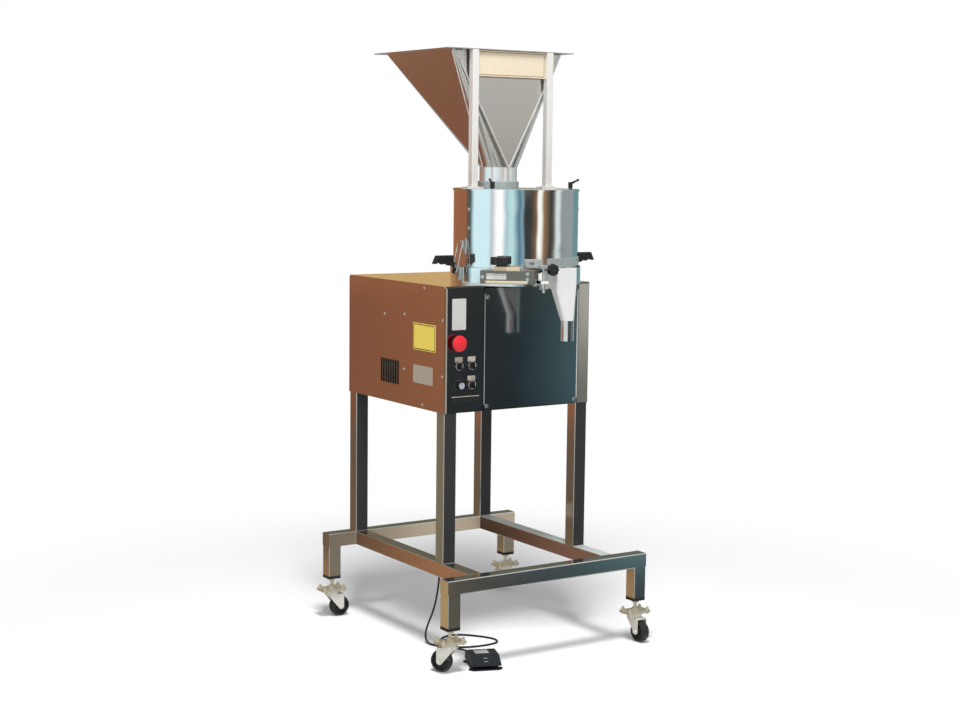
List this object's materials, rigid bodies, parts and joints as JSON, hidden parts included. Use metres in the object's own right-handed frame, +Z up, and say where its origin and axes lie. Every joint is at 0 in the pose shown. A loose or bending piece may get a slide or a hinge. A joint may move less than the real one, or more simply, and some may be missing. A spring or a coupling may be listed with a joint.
{
  "type": "cup filler",
  "caption": "Rotary volumetric filler for dry goods: hopper over a drum of telescoping cups, chute in front, cabinet on a caster stand, foot switch on a cord.",
  "frame": {"origin": "on the floor, midway between the front and rear crossbars and midway between their ends", "axes": "+X to the right seen from the front, +Y to the back, +Z up"},
  "size_m": [0.8772, 0.9726, 2.085],
  "materials": {
    "stand_steel": "satin stainless tube",
    "panel_steel": "polished stainless sheet",
    "drum_steel": "polished stainless",
    "hopper_steel": "bright stainless sheet",
    "zinc": "zinc plate",
    "cast_metal": "cast",
    "black_plastic": "matt black",
    "red_plastic": "glossy red",
    "wheel_rubber": "hard black tread",
    "foot_iron": "dark paint on cast metal",
    "cord_rubber": "matt jacket"
  },
  "bodies": {
    "stand": {"front_crossbar": "stand_steel", "rear_crossbar": "stand_steel", "side_rails": "stand_steel", "front_posts": "stand_steel", "rear_posts": "stand_steel", "leg_caps": "black_plastic", "caster_mounts": "zinc", "left_panel": "panel_steel", "right_panel": "panel_steel", "rear_panel": "panel_steel", "bottom_panel": "panel_steel", "deck": "panel_steel", "control_panel": "panel_steel", "front_cover": "panel_steel", "operator_bodies": "black_plastic", "gearbox": "cast_metal", "motor": "cast_metal", "shaft_bearing": "cast_metal", "drum_pan": "drum_steel", "drum_shell": "drum_steel", "drum_lid": "drum_steel", "levelling_blade": "drum_steel", "latch_bases": "drum_steel", "latch_keepers": "drum_steel", "volume_bracket": "drum_steel", "chute": "hopper_steel", "hopper": "hopper_steel", "hopper_collar": "drum_steel", "hopper_posts": "hopper_steel", "foot_base": "foot_iron", "cord_glands": "black_plastic", "foot_cord": "cord_rubber"},
    "turret": {"rotor_shaft": "drum_steel", "upper_cups": "drum_steel"},
    "lower_cups": {"lower_cups": "drum_steel"},
    "discharge_plate": {"discharge_plate": "drum_steel"},
    "stop_button": {"stop_button": "red_plastic"},
    "selector_left": {"selector_left": "black_plastic"},
    "selector_right": {"selector_right": "black_plastic"},
    "selector_lower": {"selector_lower": "black_plastic"},
    "dial_knob": {"dial_knob": "black_plastic"},
    "latch_handle_left": {"latch_handle_left": "black_plastic"},
    "latch_handle_right": {"latch_handle_right": "black_plastic"},
    "latch_hook_left": {"latch_hook_left": "drum_steel"},
    "latch_hook_right": {"latch_hook_right": "drum_steel"},
    "volume_knob": {"volume_knob": "black_plastic"},
    "wing_nut": {"wing_nut": "drum_steel"},
    "chute_knob": {"chute_knob": "black_plastic"},
    "foot_pedal": {"foot_pedal": "foot_iron"},
    "fork_front_left": {"fork_front_left": "zinc"},
    "wheel_front_left": {"wheel_front_left": "wheel_rubber"},
    "fork_front_right": {"fork_front_right": "zinc"},
    "wheel_front_right": {"wheel_front_right": "wheel_rubber"},
    "fork_rear_left": {"fork_rear_left": "zinc"},
    "wheel_rear_left": {"wheel_rear_left": "wheel_rubber"},
    "fork_rear_right": {"fork_rear_right": "zinc"},
    "wheel_rear_right": {"wheel_rear_right": "wheel_rubber"},
    "lid_lever_front_right": {"lid_lever_front_right": "black_plastic"},
    "lid_lever_front_left": {"lid_lever_front_left": "black_plastic"},
    "lid_lever_rear": {"lid_lever_rear": "black_plastic"}
  },
  "joints": [
    {"name": "swivel_front_left", "type": "hinge", "parent": "stand", "child": "fork_front_left", "pos_m": [-0.3906, -0.417, 0.092], "axis": [0, 0, 1], "continuous": true},
    {"name": "spin_front_left", "type": "hinge", "parent": "fork_front_left", "child": "wheel_front_left", "pos_m": [-0.4065, -0.39156, 0.0381], "axis": [-0.848, -0.5299, 0], "continuous": true},
    {"name": "swivel_front_right", "type": "hinge", "parent": "stand", "child": "fork_front_right", "pos_m": [0.3906, -0.417, 0.092], "axis": [0, 0, 1], "continuous": true},
    {"name": "spin_front_right", "type": "hinge", "parent": "fork_front_right", "child": "wheel_front_right", "pos_m": [0.3906, -0.447, 0.0381], "axis": [1, 0, 0], "continuous": true},
    {"name": "swivel_rear_left", "type": "hinge", "parent": "stand", "child": "fork_rear_left", "pos_m": [-0.3906, 0.417, 0.092], "axis": [0, 0, 1], "continuous": true},
    {"name": "spin_rear_left", "type": "hinge", "parent": "fork_rear_left", "child": "wheel_rear_left", "pos_m": [-0.36064, 0.41543, 0.0381], "axis": [0.0523, 0.9986, 0], "continuous": true},
    {"name": "swivel_rear_right", "type": "hinge", "parent": "stand", "child": "fork_rear_right", "pos_m": [0.3906, 0.417, 0.092], "axis": [0, 0, 1], "continuous": true},
    {"name": "spin_rear_right", "type": "hinge", "parent": "fork_rear_right", "child": "wheel_rear_right", "pos_m": [0.3906, 0.447, 0.0381], "axis": [-1, 0, 0], "continuous": true},
    {"name": "turret_spin", "type": "hinge", "parent": "stand", "child": "turret", "pos_m": [0.045, -0.132, 1.4], "axis": [0, 0, 1], "continuous": true},
    {"name": "volume_knob_turn", "type": "hinge", "parent": "stand", "child": "volume_knob", "pos_m": [-0.13754, -0.31008, 1.36], "axis": [0, 0, 1], "range_deg": [-724, 724]},
    {"name": "discharge_plate_lift", "type": "slide", "parent": "stand", "child": "discharge_plate", "axis": [0, 0, 1], "range_m": [-0.008, 0.008]},
    {"name": "lower_cups_lift", "type": "slide", "parent": "turret", "child": "lower_cups", "axis": [0, 0, 1], "range_m": [-0.0081, 0.0081]},
    {"name": "stop_button_press", "type": "slide", "parent": "stand", "child": "stop_button", "axis": [0, 1, 0], "range_m": [0, 0.006], "stiffness_N_per_m": 400, "springref_m": -0.004},
    {"name": "selector_left_turn", "type": "hinge", "parent": "stand", "child": "selector_left", "pos_m": [-0.247, -0.24, 1.003], "axis": [0, 1, 0], "range_deg": [-45, 45]},
    {"name": "selector_right_turn", "type": "hinge", "parent": "stand", "child": "selector_right", "pos_m": [-0.195, -0.24, 1.003], "axis": [0, 1, 0], "range_deg": [-45, 45]},
    {"name": "selector_lower_turn", "type": "hinge", "parent": "stand", "child": "selector_lower", "pos_m": [-0.195, -0.24, 0.937], "axis": [0, 1, 0], "range_deg": [-45, 45]},
    {"name": "dial_knob_turn", "type": "hinge", "parent": "stand", "child": "dial_knob", "pos_m": [-0.247, -0.24, 0.937], "axis": [0, 1, 0], "range_deg": [-140, 140]},
    {"name": "lid_lever_front_right_turn", "type": "hinge", "parent": "stand", "child": "lid_lever_front_right", "pos_m": [0.21124, -0.22605, 1.62], "axis": [0, 0, 1], "continuous": true},
    {"name": "lid_lever_front_left_turn", "type": "hinge", "parent": "stand", "child": "lid_lever_front_left", "pos_m": [-0.11957, -0.22894, 1.62], "axis": [0, 0, 1], "continuous": true},
    {"name": "lid_lever_rear_turn", "type": "hinge", "parent": "stand", "child": "lid_lever_rear", "pos_m": [0.09765, 0.0516, 1.62], "axis": [0, 0, 1], "range_deg": [-90, 90]},
    {"name": "latch_handle_left_lift", "type": "hinge", "parent": "stand", "child": "latch_handle_left", "pos_m": [-0.205, -0.132, 1.34], "axis": [0, 1, 0], "range_deg": [0, 50]},
    {"name": "latch_hook_left_swing", "type": "hinge", "parent": "latch_handle_left", "child": "latch_hook_left", "pos_m": [-0.20882, -0.132, 1.31833], "axis": [0, 1, 0], "range_deg": [-42, 1]},
    {"name": "latch_handle_right_lift", "type": "hinge", "parent": "stand", "child": "latch_handle_right", "pos_m": [0.295, -0.132, 1.34], "axis": [0, -1, 0], "range_deg": [0, 50]},
    {"name": "latch_hook_right_swing", "type": "hinge", "parent": "latch_handle_right", "child": "latch_hook_right", "pos_m": [0.29882, -0.132, 1.31833], "axis": [0, -1, 0], "range_deg": [-42, 1]},
    {"name": "wing_nut_turn", "type": "hinge", "parent": "stand", "child": "wing_nut", "pos_m": [-0.01171, -0.38779, 1.28], "axis": [0, 0, 1], "continuous": true},
    {"name": "chute_knob_turn", "type": "hinge", "parent": "stand", "child": "chute_knob", "pos_m": [0.0025, -0.418, 1.337], "axis": [0, 1, 0], "continuous": true},
    {"name": "foot_pedal_press", "type": "hinge", "parent": "stand", "child": "foot_pedal", "pos_m": [-0.23652, -0.36506, 0.026], "axis": [0.9336, -0.3584, 0], "range_deg": [0, 5], "stiffness_Nm_per_rad": 3, "springref_deg": -11.46}
  ],
  "couplings": [
    {"joint": "volume_knob_turn", "follows": "discharge_plate_lift", "rad_per_m": -1570.8},
    {"joint": "lower_cups_lift", "follows": "discharge_plate_lift", "ratio": 1},
    {"joint": "latch_hook_left_swing", "follows": "latch_handle_left_lift", "ratio": -0.831},
    {"joint": "latch_hook_right_swing", "follows": "latch_handle_right_lift", "ratio": -0.831}
  ]
}
